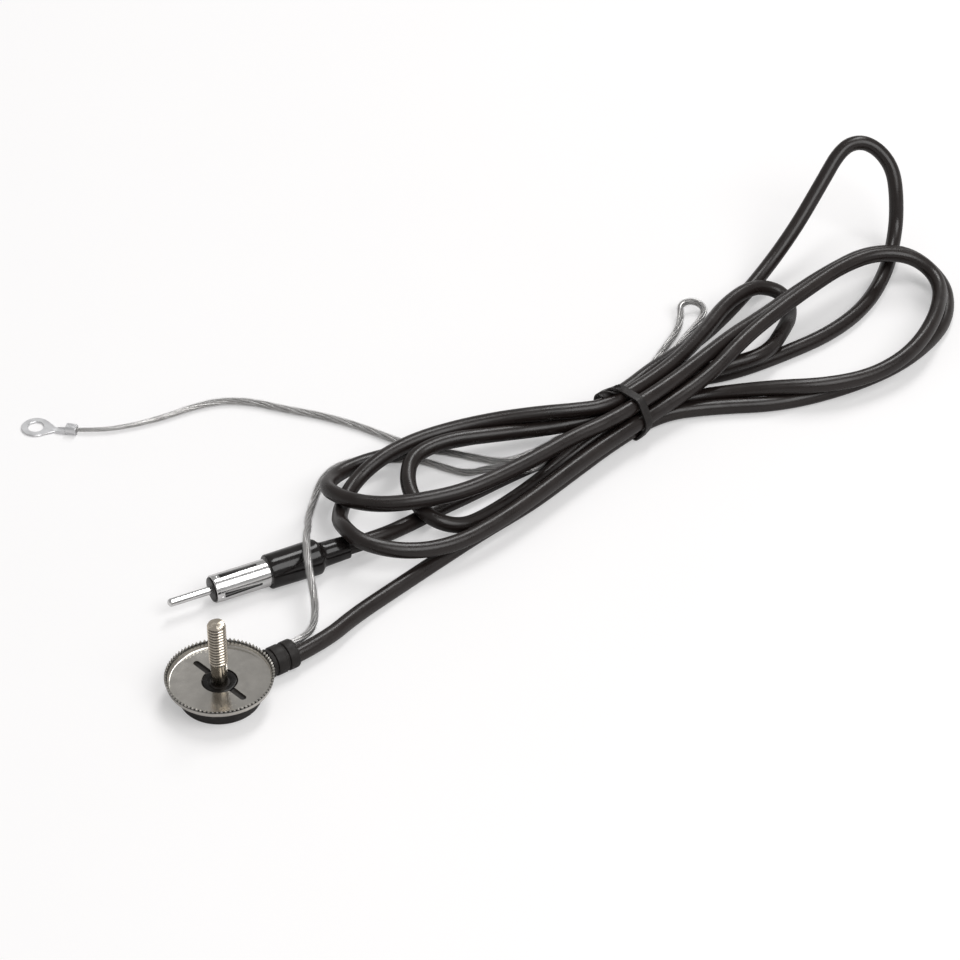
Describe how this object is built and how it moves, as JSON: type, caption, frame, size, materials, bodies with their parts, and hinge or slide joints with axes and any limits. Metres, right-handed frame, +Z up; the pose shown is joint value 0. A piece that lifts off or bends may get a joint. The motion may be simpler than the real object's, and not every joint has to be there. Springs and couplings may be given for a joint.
{
  "type": "vehicle antenna base with lead",
  "caption": "Under-roof antenna base: serrated cup washer on a black moulding, threaded stud, tied coaxial lead with a slotted radio plug, and an earth lead with a ring terminal.",
  "frame": {"origin": "stud axis at the foot of the base moulding, on the surface it lies on", "axes": "+Z up the stud, +X along the cable boss"},
  "size_m": [0.3653, 0.1796, 0.0402],
  "materials": {
    "black_moulding": "satin",
    "washer_plate": "bright plated",
    "stud_steel": "plated, a little dull",
    "contact_brass": "plain",
    "lead_sheath": "satin",
    "clear_sleeve": "clear over tinned strands",
    "plug_plate": "bright plated",
    "plug_insulator": "matt",
    "boot_moulding": "gloss",
    "tinned_terminal": "tinned, matt",
    "tie_strip": "matt"
  },
  "bodies": {
    "root": {"base_moulding": "black_moulding", "cup_washer": "washer_plate", "stud_bush": "black_moulding", "threaded_stud": "stud_steel", "live_tag": "contact_brass", "earth_tag": "contact_brass", "coax_core_end": "contact_brass", "coax_base_tail": "lead_sheath", "coax_hank": "lead_sheath", "coax_plug_tail": "lead_sheath", "earth_lead": "clear_sleeve", "plug_pin": "plug_plate", "plug_insulator": "plug_insulator", "plug_barrel": "plug_plate", "plug_boot": "boot_moulding", "plug_core_wire": "contact_brass", "ring_terminal": "tinned_terminal", "twist_tie": "tie_strip"}
  },
  "joints": []
}
